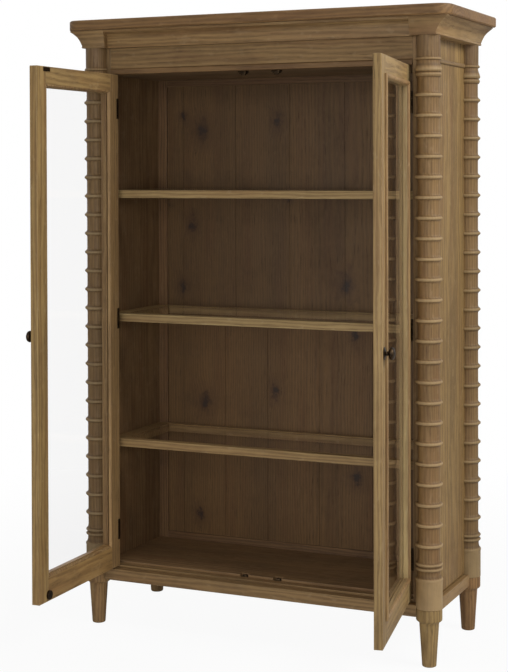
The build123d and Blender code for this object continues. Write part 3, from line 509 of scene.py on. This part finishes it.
# %% Boards that keep their CAD shape
UP, ACROSS, DEEP = (0, 0, 1), (1, 0, 0), (0, 1, 0)
RIGHT_DOOR_RAIL = (0.1736, -0.9848, 0)
WELD_GAP, ARRIS, BACK_ARRIS = 0.00001, 0.0012, 0.0008
boards = {
    "crown_slab": (ACROSS, (0.84, 0.75, 0.66), 1),
    "frieze_board": (ACROSS, (0.78, 0.77, 0.73), 6),
    "head_rail": (ACROSS, (0.62, 0.56, 0.51), 7),
    "front_base_rail": (ACROSS, 1.00, 8),
    "back_base_rail": (ACROSS, 0.85, 9),
    "side_base_rails": (DEEP, 1.00, 10),
    "left_front_stile": (UP, 0.80, 11),
    "right_front_stile": (UP, 0.92, 12),
    # painted shade: the inner face of the left side panel is made darker for the shade inside
    "left_side_panel": (UP, (0.72, 0.69, 0.74), 13),
    "right_side_panel": (UP, (1.00, 1.01, 0.85), 14),
    "side_beads": (DEEP, 0.95, 15),
    "bottom_front_rail": (ACROSS, 0.85, 16),
    # painted shade: the floor, ceiling and back frame are made darker for the shade of the closed
    # inside
    "floor_board": (ACROSS, (0.80, 0.77, 0.82), 17),
    "ceiling_board": (ACROSS, (0.68, 0.68, 0.78), 18),
    "back_stiles": (UP, (0.47, 0.41, 0.40), 19),
    "back_rails": (ACROSS, (0.47, 0.41, 0.40), 20),
    # painted light: the shelf frames are made paler for the light on their front edges
    "lower_shelf_frame": (ACROSS, (1.12, 1.16, 1.16), 22),
    "middle_shelf_frame": (ACROSS, (1.36, 1.50, 1.55), 23),
    "upper_shelf_frame": (ACROSS, (1.10, 1.20, 1.22), 24),
    # painted light: the doors' stiles, rails and mouldings are made paler for the light on them
    "left_door_hinge_stile": (UP, 1.05, 25),
    "left_door_meeting_stile": (UP, (1.31, 1.38, 1.28), 26),
    "left_door_top_rail": (DEEP, (1.12, 1.18, 1.12), 27),
    "left_door_bottom_rail": (DEEP, (1.18, 1.15, 1.03), 28),
    "left_door_glazing_beads": (UP, 1.1, 29),
    "left_door_moulding": (UP, 1.25, 21),
    "right_door_moulding": (UP, 1.22, 37),
    "right_door_hinge_stile": (UP, (1.36, 1.56, 1.64), 30),
    "right_door_meeting_stile": (UP, (1.17, 1.24, 1.20), 31),
    "right_door_top_rail": (RIGHT_DOOR_RAIL, (1.10, 1.16, 1.12), 32),
    "right_door_bottom_rail": (RIGHT_DOOR_RAIL, (1.10, 1.16, 1.12), 33),
    "right_door_glazing_beads": (UP, 1.1, 34),
}


def soften(piece, width=ARRIS):
    """Joins the loose triangles of a CAD board and takes the sharpness off its edges."""
    piece.modifiers.new("join", "WELD").merge_threshold = WELD_GAP
    ease = piece.modifiers.new("arris", "BEVEL")
    ease.width = width
    ease.segments = 2
    ease.limit_method = "ANGLE"
    ease.angle_limit = radians(40)
    ease.use_clamp_overlap = True
    ease.harden_normals = True


for name, (along, tone, seed) in boards.items():
    board = nodes[name]
    dress(board, oak(board, along, tone, seed))
    if "moulding" not in name:
        soften(board)
print("boards finished:", len(boards))

# %% [markdown]
# The back is made of knotty boards, since nobody looks at it from outside. Their grain
# is calmer than the front's and their tone darker, partly as a darker wood and partly as
# painted shade of the closed inside, which is deeper on the upper boards under the head.
# Each knot is given as its place across and along the boards and its size.

# %% Back boards with knots
# painted shade: these tones are darker partly for the shade inside, most on the upper boards
back_boards = {
    "lower_back_boards": ((0.44, 0.38, 0.31), 35, (
        (0.391, 0.074, 0.021), (0.113, 0.127, 0.015), (-0.199, 0.342, 0.015),
        (0.413, -0.346, 0.013), (-0.202, -0.163, 0.018), (-0.058, -0.035, 0.009))),
    "upper_back_boards": ((0.385, 0.335, 0.27), 36, (
        (0.399, 0.247, 0.022), (0.477, 0.304, 0.012), (0.098, 0.275, 0.015), (0.442, -0.100, 0.014),
        (0.484, -0.326, 0.014), (0.056, 0.006, 0.01), (0.554, -0.026, 0.01), (-0.166, -0.305, 0.02))),
}
for name, (tone, seed, knots) in back_boards.items():
    board = nodes[name]
    dress(board, oak(board, UP, tone, seed, rings=34, knots=knots, contrast=0.5))
    soften(board, BACK_ARRIS)
    print(name, "finished with knots:", len(knots))

# %% [markdown]
# ## Glass
# A clear pane lets what is behind it through and mirrors the room, and it mirrors
# more the more slanting the view is. That is mixed here from a clear and a mirroring
# shader, with the share of the mirror given by the slant. Only the near face mirrors.

# %% Glass
GLASS_IOR, GLASS_ROUGH = 1.45, 0.02


def glass(name):
    """Clear glass: what is behind it shows through, and it mirrors more at a slant."""
    made = bpy.data.materials.new(name)
    tree = emptied(made)
    through = shade(tree, "BsdfTransparent", {"Color": WHITE})
    mirror = shade(tree, "BsdfGlossy", {"Color": WHITE, "Roughness": GLASS_ROUGH})
    slant = shade(tree, "Fresnel", {"IOR": GLASS_IOR})
    outside = figure(tree, "SUBTRACT", 1.0, shade(tree, "NewGeometry").outputs["Backfacing"])
    share = figure(tree, "MULTIPLY", slant.outputs[0], outside)
    both = shade(tree, "MixShader", {0: share, 1: through.outputs[0], 2: mirror.outputs[0]})
    shade(tree, "OutputMaterial", {"Surface": both.outputs[0]})
    return made


panes = ("lower_shelf_glass", "middle_shelf_glass", "upper_shelf_glass",
         "left_door_glass", "right_door_glass")
for name in panes:
    dress(nodes[name], glass("glass_" + name))
print("panes finished:", len(panes))

# %% [markdown]
# ## Metal
# Hinges, strikes, knobs and catches have a dark bronze skin, rubbed a little paler
# where they are touched, and the shelf supports are plain old steel. A cloudy noise
# spreads the rubbed patches and a fine one gives the rough skin of a casting, and the
# same recipe does for both metals.

# %% Metals
CLOUD_SCALE, SPECK_SCALE, CAST_DEPTH = 90.0, 700.0, 0.0006


def metal(name, colour, worn, roughness):
    """Aged metal: a dark skin with paler rubbed patches and uneven gloss."""
    made = bpy.data.materials.new(name)
    tree = emptied(made)
    place = shade(tree, "TexCoord").outputs["Object"]
    cloud = noise(tree, place, CLOUD_SCALE, 5.0, 0.6)
    speck = noise(tree, place, SPECK_SCALE, 2.0)
    tint = blended(tree, spread(tree, cloud, 0.42, 0.66), colour + (1,), worn + (1,))
    rough = spread(tree, cloud, 0.3, 0.7, roughness + 0.12, roughness - 0.08)
    height = figure(tree, "ADD", cloud, figure(tree, "MULTIPLY", speck, 0.3))
    bump = shade(tree, "Bump", {"Height": height, "Strength": 0.35, "Distance": CAST_DEPTH})
    skin = shade(tree, "BsdfPrincipled", {
        "Base Color": tint, "Roughness": rough, "Metallic": 1.0, "Normal": bump.outputs[0]})
    shade(tree, "OutputMaterial", {"Surface": skin.outputs[0]})
    return made


bronze = metal("dark_bronze", (0.022, 0.015, 0.010), (0.075, 0.048, 0.026), 0.40)
steel = metal("old_steel", (0.22, 0.21, 0.20), (0.40, 0.39, 0.37), 0.38)
for name in ("left_door_hinge_leaves", "right_door_hinge_leaves", "jamb_hinge_leaves", "hinge_pins",
             "left_door_strikes", "right_door_strikes"):
    dress(nodes[name], bronze)
dress(nodes["shelf_supports"], steel)
print("metal finished")

# %% [markdown]
# ## Turned posts
# Each corner has a post turned on a lathe, with 23 thin ridges up its length. On a
# lathe the wood turns and the tool draws the profile, so here half the section is
# drawn out from the axis, filled and spun. A wedge of the round is left out where
# the corner of the carcass stands in the post.

# %% Draw and spin a profile
MERGE_GAP = 0.000005


def outline_drawn(points):
    """Draws a line through points with one vertex after another, in edit mode."""
    bpy.ops.object.select_all(action="DESELECT")
    bpy.ops.mesh.primitive_plane_add(size=0.001, location=points[0])
    bpy.ops.object.mode_set(mode="EDIT")
    bpy.ops.mesh.merge(type="CENTER")
    for before, after in zip(points, points[1:]):
        step = Vector(after) - Vector(before)
        bpy.ops.mesh.extrude_vertices_move(TRANSFORM_OT_translate={"value": step})


def edit_ended():
    """Makes the normals agree and leaves edit mode, with the piece's place in its mesh."""
    bpy.ops.mesh.select_all(action="SELECT")
    bpy.ops.mesh.remove_doubles(threshold=MERGE_GAP)
    bpy.ops.mesh.normals_make_consistent(inside=False)
    bpy.ops.object.mode_set(mode="OBJECT")
    bpy.ops.object.transform_apply(location=True, rotation=True, scale=True)
    return bpy.context.object


def turned(name, axis, profile, start=0.0, sweep=360.0, steps=40, smooth=28):
    """Spins a profile of (radius, height) pairs round an upright axis."""
    out = Vector((cos(radians(start)), sin(radians(start)), 0))
    foot = Vector((axis[0], axis[1], 0))
    outline_drawn([foot + out * r * mm + Vector((0, 0, z * mm)) for r, z in profile])
    bpy.ops.mesh.select_all(action="SELECT")
    if sweep < 360:
        bpy.ops.mesh.edge_face_add()
    bpy.ops.mesh.spin(steps=steps, angle=radians(sweep), center=foot, axis=(0, 0, -1))
    piece = edit_ended()
    bpy.ops.object.shade_smooth_by_angle(angle=radians(smooth))
    piece.name = name
    return piece


def copied(piece, name, turn=0.0, about=(0, 0, 0), move=(0, 0, 0)):
    """A copy with its own mesh, turned about an upright line and then moved."""
    twin = piece.copy()
    twin.data = piece.data.copy()
    twin.name = name
    bpy.context.scene.collection.objects.link(twin)
    pivot = Matrix.Translation(about)
    turning = pivot @ Matrix.Rotation(radians(turn), 4, "Z") @ pivot.inverted()
    twin.data.transform(Matrix.Translation(move) @ turning)
    return twin


def fitted(piece, body, slot, finish, *replaced):
    """Puts a made piece on its body, in its finish, for the CAD nodes it stands for."""
    dress(piece, finish)
    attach(piece, body)
    if replaced:
        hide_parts(*replaced)


print("lathe ready")

# %% [markdown]
# The post's profile runs from the plain drum on the leg, over a swelling and two
# beads, up to the rings, and ends in a bead, a flared neck and one more ring under
# the cornice. A ring is drawn as one side, from the shaft to its crest, and mirrored.

# %% Post profile
leg_low, leg_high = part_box("front_right_leg")
POST_X, FRONT_POST_Y = (leg_low[0] + leg_high[0]) / 2, (leg_low[1] + leg_high[1]) / 2
leg_low, leg_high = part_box("back_right_leg")
BACK_POST_Y = (leg_low[1] + leg_high[1]) / 2
RING_COUNT, RING_PITCH, FIRST_RING = 23, 64.95, 388
ring_side = ((35.4, -13.5), (35.8, -11.0), (36.7, -8.8), (38.2, -6.8),
             (40.1, -5.2), (42.0, -3.9), (43.2, -2.7), (43.6, -1.4))
drum = ((0, 187), (43, 187), (43, 272), (43.6, 275), (44.5, 279), (44.2, 281.5),
        (43, 283.5), (40.5, 285), (38.4, 290), (37.0, 296), (36.5, 303))
foot_beads = ((37.5, 308), (40.5, 309.5), (42.8, 311.6), (43.5, 314), (42.8, 316.4),
              (40.5, 318.5), (37.5, 320), (37.5, 322.5), (40.5, 324), (42.8, 326.1),
              (43.5, 328.5), (42.8, 330.9), (40.5, 333), (37.5, 334.5), (36.6, 338),
              (35.8, 342), (35.4, 346))
head_bead = ((35.4, 1871), (37.6, 1873), (40.5, 1876), (42.5, 1882), (40.4, 1886.5), (37.5, 1889))
head_flare = ((40.2, 1890.6), (42.4, 1893.4), (43.6, 1897), (42.4, 1901.5), (40.6, 1906.5),
              (38.6, 1912), (37, 1917.5), (36.2, 1922), (36.2, 1925.5))
head_ring = ((38.4, 1926.6), (41.2, 1928.4), (42, 1931), (41.2, 1933.6), (39.2, 1935.6),
             (37.5, 1938), (38, 2005), (0, 2005))
post_profile = list(drum + foot_beads)
for i in range(RING_COUNT):
    crest = FIRST_RING + i * RING_PITCH
    post_profile += [(r, crest + dz) for r, dz in ring_side]
    post_profile += [(r, crest - dz) for r, dz in reversed(ring_side)]
post_profile += head_bead + head_flare + head_ring
print("points in the post's profile:", len(post_profile))

# %% [markdown]
# One post and one leg are turned at the front right corner. The other three are copies
# that are turned about the post's axis first, so that the left-out wedge of each post
# faces the carcass.

# %% Copies at the corners
LATHE_AXIS = (POST_X, FRONT_POST_Y, 0)
TO_LEFT, TO_BACK = -2 * POST_X, BACK_POST_Y - FRONT_POST_Y
corner_moves = {
    "front_left": (TO_LEFT, 0, 0),
    "back_right": (0, TO_BACK, 0),
    "back_left": (TO_LEFT, TO_BACK, 0),
}


def at_corners(model, kind, turns):
    """The model at the front right, and its copies at the other three corners."""
    made = {"front_right": model}
    for corner, move in corner_moves.items():
        made[corner] = copied(model, f"{corner}_{kind}_turning", turns[corner], LATHE_AXIS, move)
    return made


print("corners ready:", 1 + len(corner_moves))

# %% Turn the posts
POST_START, POST_SWEEP = 172, 286
# painted shade: the back right post is made darker for the shade it stands in
post_tones_and_shade = {
    "front_right": (0.98, 0.95, 0.90), "front_left": 0.87,
    "back_right": (0.72, 0.71, 0.66), "back_left": 0.80,
}
right_post = turned(
    "front_right_post_turning", LATHE_AXIS, post_profile, POST_START, POST_SWEEP, steps=34)
posts = at_corners(right_post, "post", {"front_left": -90, "back_right": 90, "back_left": 180})
for i, (corner, post) in enumerate(posts.items()):
    side = 1 if "right" in corner else -1
    place = (side * POST_X, FRONT_POST_Y if "front" in corner else BACK_POST_Y)
    finish = oak(post, UP, post_tones_and_shade[corner], 40 + i, rings=34, lathe_axis=place, contrast=0.6)
    fitted(post, "carcass", "oak", finish, corner + "_post")
print("posts turned:", len(posts), "with", len(right_post.data.polygons), "faces each")

# %% [markdown]
# The leg is a plain taper that swells into a drum. Its foot is rounded, so that it
# doesn't splinter when the cabinet is dragged. It is a whole round, so its copies are
# turned only to show other sides of the turning's faces.

# %% Turn the legs
# painted light: the front legs are made paler for the light thrown up on them from the floor
leg_tones_and_light = {
    "front_right": (1.08, 1.15, 1.08), "front_left": 1.22,
    "back_right": (0.98, 0.88, 0.80), "back_left": 0.85,
}
leg_profile = (
    (0, 0), (15, 0), (19, 0.5), (21.6, 1.8), (22.6, 3.6), (23, 6), (25.1, 40),
    (27.3, 75), (29.5, 107), (31.5, 138), (32.6, 141.6), (34.2, 144), (38.6, 146.4),
    (40.6, 148.2), (41.7, 150.8), (42, 154), (42, 181), (41.7, 183.4), (40.8, 185.6),
    (39.5, 187), (0, 187))
leg = turned("front_right_leg_turning", LATHE_AXIS, leg_profile, steps=44)
legs = at_corners(leg, "leg", {"front_left": 70, "back_right": 130, "back_left": 200})
for i, (corner, foot) in enumerate(legs.items()):
    fitted(foot, "carcass", "oak", oak(foot, UP, leg_tones_and_light[corner], 50 + i, wear=0.0), corner + "_leg")
print("legs turned:", len(legs))

# %% [markdown]
# ## Cornice
# A cornice is planed as long sticks of moulding and mitred round the corners. Its
# section is drawn here as an outline, filled, pulled along its run with extrude, and
# its ends are sawn off with bisect, just as the mitre saw does it. Over the posts the
# front breaks forward, so each corner is a short block with a mitre at its outer end.

# %% Run a moulding
MOULDING_ARRIS = 0.0007


def eased(piece, width, segments=2, limit=30):
    """Rounds the edges of the piece in hand that are sharper than a limit in degrees."""
    ease = piece.modifiers.new("arris", "BEVEL")
    ease.width = width
    ease.segments = segments
    ease.limit_method = "ANGLE"
    ease.angle_limit = radians(limit)
    bpy.ops.object.modifier_apply(modifier="arris")


def moulded(name, section, run, cuts=()):
    """Fills an outline, pulls it along its run and saws away what lies beyond each cut."""
    outline_drawn([Vector(p) * mm for p in section])
    bpy.ops.mesh.select_all(action="SELECT")
    bpy.ops.mesh.edge_face_add()
    bpy.ops.mesh.extrude_region_move(TRANSFORM_OT_translate={"value": Vector(run) * mm})
    bpy.ops.mesh.select_all(action="SELECT")
    bpy.ops.mesh.normals_make_consistent(inside=False)
    for point, away in cuts:
        bpy.ops.mesh.select_all(action="SELECT")
        bpy.ops.mesh.bisect(
            plane_co=Vector(point) * mm, plane_no=Vector(away).normalized(),
            use_fill=True, clear_outer=True)
    piece = edit_ended()
    piece.name = name
    eased(piece, MOULDING_ARRIS, limit=38)
    bpy.ops.object.shade_smooth_by_angle(angle=radians(25))
    return piece


print("moulding plane ready")

# %% [markdown]
# The side runs have an ogee over a small bead. The front run has a shallower cove
# between two steps, as seen in the photograph. A break keeps the side's section but
# stands out only a quarter as far to the front. All sizes are in millimetres.

# %% Sections of the cornice
FOOT_Z, TOP_Z, BACK_Y = 2005.0, 2065.0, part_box("crown_slab")[1][1] / mm - 0.5
SIDE_X, SIDE_BACK_X, SIDE_START_Y = 639.0, 602.0, -40
FRONT_Y, FRONT_BACK_Y = 19.5, 59.5
BREAK_Y, BREAK_BACK_Y, BREAK_INNER_X, BREAK_RUN = -2.5, 30, 552, 150
SIDE_REACH, BREAK_REACH = 43, 11
side_face = (
    (0, 0), (2.2, 1), (3, 3), (2.2, 5.5), (1.2, 7), (3.2, 12), (6.4, 19), (10, 26),
    (14.4, 33), (19.8, 39.5), (26, 45), (32, 49.6), (37.5, 53.6), (39.5, 54.6),
    (39.5, 56.2), (SIDE_REACH, 56.2), (SIDE_REACH, 60))
front_face = (
    (0, 0), (0, 38), (3.5, 38), (3.5, 40), (6.5, 43.5), (11.5, 47), (17.5, 50),
    (24.5, 52), (28.5, 52.6), (28.5, 56), (32.4, 56), (32.4, 60))


def backed(face, x, y):
    """Closes a face's outline with an upright back at a place."""
    return [(x, y, FOOT_Z)] + face + [(x, y, TOP_Z)]


print("cornice", TOP_Z - FOOT_Z, "mm high, standing out", SIDE_REACH, "mm at the sides")

# %% Front and side runs
face = [(-SIDE_BACK_X, FRONT_Y - out, FOOT_Z + up) for out, up in front_face]
section = backed(face, -SIDE_BACK_X, FRONT_BACK_Y)
front_run = moulded("front_cornice_run", section, (2 * SIDE_BACK_X, 0, 0))
fitted(front_run, "carcass", "oak", oak(front_run, ACROSS, 1.12, 2), "front_cornice")
# painted light: the right run is made paler for the sheen of the lamp on that side
run_tones_and_light = {"left": 0.88, "right": (1.22, 1.27, 1.34)}
for side, hand in ((-1, "left"), (1, "right")):
    corner = (side * SIDE_X, BREAK_Y, FOOT_Z)
    mitre = Vector((-side * BREAK_REACH, -SIDE_REACH, 0))
    face = [(side * (SIDE_X + out), SIDE_START_Y, FOOT_Z + up) for out, up in side_face]
    section = backed(face, side * SIDE_BACK_X, SIDE_START_Y)
    run = moulded(hand + "_cornice_run", section, (0, BACK_Y - SIDE_START_Y, 0), [(corner, mitre)])
    fitted(run, "carcass", "oak", oak(run, DEEP, run_tones_and_light[hand], 3 + side), hand + "_cornice")
    share = BREAK_REACH / SIDE_REACH
    face = [(side * BREAK_INNER_X, BREAK_Y - share * out, FOOT_Z + up) for out, up in side_face]
    section = backed(face, side * BREAK_INNER_X, BREAK_BACK_Y)
    block = moulded(hand + "_cornice_break", section, (side * BREAK_RUN, 0, 0), [(corner, -mitre)])
    fitted(block, "carcass", "oak", oak(block, ACROSS, 0.95, 6 + side), "cornice_breaks")
print("cornice runs made")

# %% [markdown]
# ## Knobs
# Each door has a cast knob on a round rose. Like the posts it is a turned shape, so
# the same profile-and-spin makes it. It is modelled once, standing up at the origin,
# and each copy is then laid on its door's outer face.

# %% Places on the open doors
HINGE_X, HINGE_Y = 0.5487, FRONT_POST_Y - 0.0004
door_turns = {"left": (-1, radians(88.5)), "right": (1, radians(100))}


def door_place(hand, across, deep, height):
    """A point on an open door in millimetres from its hinge, and the way into the cabinet."""
    side, turn = door_turns[hand]
    along = Vector((-side * cos(turn), -sin(turn), 0))
    inward = Vector((-side * sin(turn), cos(turn), 0))
    point = Vector((side * HINGE_X, HINGE_Y, 0)) + along * across * mm + inward * deep * mm
    return point + Vector((0, 0, height * mm)), inward


def laid(model, name, point, facing, turn=0.0):
    """A copy of a piece that was modelled upright at the origin, laid so that its top faces a way."""
    twin = model.copy()
    twin.data = model.data.copy()
    twin.name = name
    bpy.context.scene.collection.objects.link(twin)
    tip = Vector(facing).to_track_quat("Z", "Y").to_matrix().to_4x4()
    twin.data.transform(Matrix.Translation(point) @ tip @ Matrix.Rotation(radians(turn), 4, "Z"))
    return twin


print("hinge line at x", HINGE_X, "y", round(HINGE_Y, 4))

# %% Turn the knobs
KNOB_ACROSS, DOOR_FACE, KNOB_HEIGHT = 514.45, 4.4, 1054
rose = ((0, 0), (19, 0), (19, 0.9), (18.6, 1.7), (17.4, 2.4), (15.4, 2.8), (13.8, 3.0),
        (13.2, 3.8), (12.2, 4.4))
neck = ((9, 4.9), (7.2, 6.2), (6.4, 8.5), (6.3, 11.4), (7.4, 13.2), (10.6, 14.2))
grip = ((14.6, 15.8), (17.6, 18.6), (18.6, 21.6), (18.2, 24.4), (16.4, 27.6), (12.6, 30.0),
        (7.2, 31.6), (0, 32))
knob_model = turned("knob_model", (0, 0), rose + neck + grip, steps=56, smooth=35)
for hand in door_turns:
    point, inward = door_place(hand, KNOB_ACROSS, DOOR_FACE, KNOB_HEIGHT)
    knob = laid(knob_model, hand + "_turned_knob", point, -inward)
    fitted(knob, hand + "_door", "dark_bronze", bronze, hand + "_door_knob")
bpy.data.objects.remove(knob_model)
print("knobs made, standing out", grip[-1][1], "mm")

# %% [markdown]
# ## Tongues of the back
# Boards shrink and swell with the weather, so a back is made of loose boards with a
# narrow gap at each joint. A thin tongue sits in grooves on both sides of the gap and
# keeps light and dust out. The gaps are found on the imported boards, between the spans
# that their flat faces cover, and each gets one chamfered strip in the boards' middle.

# %% Find the gaps between the boards
LEAST_GAP = 0.0002


def gaps_across(board):
    """The spans of x that no flat face of the boards covers, from left to right."""
    mesh = board.data
    spans = []
    for face in mesh.polygons:
        if abs(face.normal.y) > 0.9:
            xs = [mesh.vertices[v].co.x for v in face.vertices]
            spans.append((min(xs), max(xs)))
    reach, gaps = None, []
    for start, end in sorted(spans):
        if reach is not None and start > reach + LEAST_GAP:
            gaps.append((reach, start))
        reach = end if reach is None else max(reach, end)
    return gaps


def joined(pieces, name):
    """The pieces as one object."""
    bpy.ops.object.select_all(action="DESELECT")
    for piece in pieces:
        piece.select_set(True)
    bpy.context.view_layer.objects.active = pieces[0]
    bpy.ops.object.join()
    whole = bpy.context.object
    whole.name = name
    return whole


print("gaps in the lower back:", len(gaps_across(nodes["lower_back_boards"])))

# %% Set a tongue in each gap
TONGUE_LAP, TONGUE_THICK, TONGUE_SHORT, TONGUE_CHAMFER = 0.006, 0.004, 0.004, 0.0009
for level in ("lower", "upper"):
    board = nodes[level + "_back_boards"]
    low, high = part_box(level + "_back_boards")
    strips = []
    for left, right in gaps_across(board):
        middle = ((left + right) / 2, (low[1] + high[1]) / 2, (low[2] + high[2]) / 2)
        size = (right - left + TONGUE_LAP, TONGUE_THICK, high[2] - low[2] - TONGUE_SHORT)
        bpy.ops.object.select_all(action="DESELECT")
        bpy.ops.mesh.primitive_cube_add(size=1, location=middle, scale=size)
        bpy.ops.object.transform_apply(location=True, rotation=True, scale=True)
        strips.append(bpy.context.object)
    count = len(strips)
    tongues = joined(strips, level + "_back_tongues")
    eased(tongues, TONGUE_CHAMFER, segments=1)
    # painted shade: the tongues share the back boards' dark tone, partly painted shade of the inside
    fitted(tongues, "carcass", "oak_back", oak(tongues, UP, 0.40, 60))
    print(tongues.name, "strips:", count)

# %% [markdown]
# ## Door catches
# Behind each shut door one catch stands on the floor board and another hangs under
# the ceiling board, to hold the door. A catch is a small casting: a foot plate, a
# raised housing and a nose. It is made from a block whose face away from the board is
# inset and extruded twice. A step gives how far it is set in and how far it rises.

# %% Catches
CATCH_X, CATCH_LENGTH, PLATE_THICK, CATCH_ARRIS = 0.0613, 0.029, 0.005, 0.0006
catch_steps = ((0.0030, 0.0050), (0.0040, 0.0040))
catch_low, catch_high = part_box("door_catches")
catch_depth = catch_high[1] - catch_low[1]
catch_y = (catch_high[1] + catch_low[1]) / 2


def catch_made(name, x, level, up):
    """A stepped catch that stands up from a level, or hangs down from it where up is -1."""
    bpy.ops.object.select_all(action="DESELECT")
    place = (x, catch_y, level + up * PLATE_THICK / 2)
    plate = (CATCH_LENGTH, catch_depth, PLATE_THICK)
    bpy.ops.mesh.primitive_cube_add(size=1, location=place, scale=plate)
    bpy.ops.object.transform_apply(location=True, rotation=True, scale=True)
    catch = bpy.context.object
    bpy.ops.object.mode_set(mode="EDIT")
    bpy.ops.mesh.select_mode(type="FACE")
    bpy.ops.mesh.select_all(action="DESELECT")
    bpy.ops.object.mode_set(mode="OBJECT")
    for face in catch.data.polygons:
        face.select = face.normal.z * up > 0.9
    bpy.ops.object.mode_set(mode="EDIT")
    for inset, rise in catch_steps:
        bpy.ops.mesh.inset(thickness=inset, depth=0)
        bpy.ops.mesh.extrude_region_move(TRANSFORM_OT_translate={"value": (0, 0, up * rise)})
    bpy.ops.mesh.select_all(action="SELECT")
    bpy.ops.mesh.normals_make_consistent(inside=False)
    bpy.ops.object.mode_set(mode="OBJECT")
    catch.name = name
    eased(catch, CATCH_ARRIS)
    bpy.ops.object.shade_smooth_by_angle(angle=radians(30))
    return catch


for hand, x in (("left", -CATCH_X), ("right", CATCH_X)):
    for end, level, up in (("floor", catch_low[2], 1), ("head", catch_high[2], -1)):
        catch = catch_made(f"{hand}_{end}_catch", x, level, up)
        fitted(catch, "carcass", "dark_bronze", bronze, "door_catches")
print("catches stand out", round((PLATE_THICK + sum(rise for _, rise in catch_steps)) / mm, 1), "mm")

# %% [markdown]
# ## Screws
# Butt hinges are held by countersunk wood screws. One screw head is modelled as a low
# disc with two half rounds on it, which leave the slot between them, and its copies are
# turned at odd angles, as a hand-driven screw stops where it stops.

# %% One screw head
HEAD_RADIUS, DISC_THICK, HEAD_INSET = 0.0033, 0.0004, 0.94
HALF_FOOT, HALF_RISE, HALF_SLOT = 0.0003, 0.0005, 0.0005


def screw_head():
    """A slotted screw head at the origin, with its top facing up."""
    bpy.ops.object.select_all(action="DESELECT")
    bpy.ops.mesh.primitive_cylinder_add(
        vertices=28, radius=HEAD_RADIUS, depth=DISC_THICK, location=(0, 0, DISC_THICK / 2))
    bpy.ops.object.mode_set(mode="EDIT")
    bpy.ops.mesh.select_mode(type="VERT")
    for half in (1, -1):
        bpy.ops.mesh.select_all(action="DESELECT")
        bpy.ops.mesh.primitive_circle_add(
            vertices=28, radius=HEAD_RADIUS * HEAD_INSET, fill_type="NGON", location=(0, 0, HALF_FOOT))
        bpy.ops.mesh.bisect(plane_co=(0, half * HALF_SLOT, 0), plane_no=(0, -half, 0), clear_outer=True)
        bpy.ops.mesh.select_linked()
        bpy.ops.mesh.extrude_region_move(TRANSFORM_OT_translate={"value": (0, 0, HALF_RISE)})
    bpy.ops.mesh.select_all(action="SELECT")
    bpy.ops.mesh.normals_make_consistent(inside=False)
    bpy.ops.object.mode_set(mode="OBJECT")
    bpy.ops.object.transform_apply(location=True, rotation=True, scale=True)
    return bpy.context.object


head = screw_head()
print("screw head faces:", len(head.data.polygons))

# %% [markdown]
# Each leaf has three screws. Those in the jamb are sunk almost flush, since the door's
# leaf closes on them, and those on the doors sit on the leaf.

# %% Screws in the hinges
hinge_heights, screw_steps = (335, 1068, 1794), (-24, 0, 24)
JAMB_SCREW_X, JAMB_SCREW_BACK = 549.55, 15
DOOR_SCREW_ACROSS, DOOR_LEAF_FACE = 8.6, 31.5
JAMB_TURN, DOOR_TURN = 67, 31
screws = {"carcass": [], "left_door": [], "right_door": []}
turn = 0
for hand, (side, _) in door_turns.items():
    for height in [middle + step for middle in hinge_heights for step in screw_steps]:
        turn += JAMB_TURN
        point = Vector((side * JAMB_SCREW_X, FRONT_POST_Y / mm + JAMB_SCREW_BACK, height)) * mm
        screws["carcass"].append(laid(head, "hinge_screw", point, (-side, 0, 0), turn))
        point, inward = door_place(hand, DOOR_SCREW_ACROSS, DOOR_LEAF_FACE, height)
        screws[hand + "_door"].append(laid(head, "hinge_screw", point, inward, turn + DOOR_TURN))
bpy.data.objects.remove(head)
for body, heads in screws.items():
    count = len(heads)
    group = joined(heads, body + "_hinge_screws")
    fitted(group, body, "dark_bronze", bronze)
    print(group.name, "heads:", count)
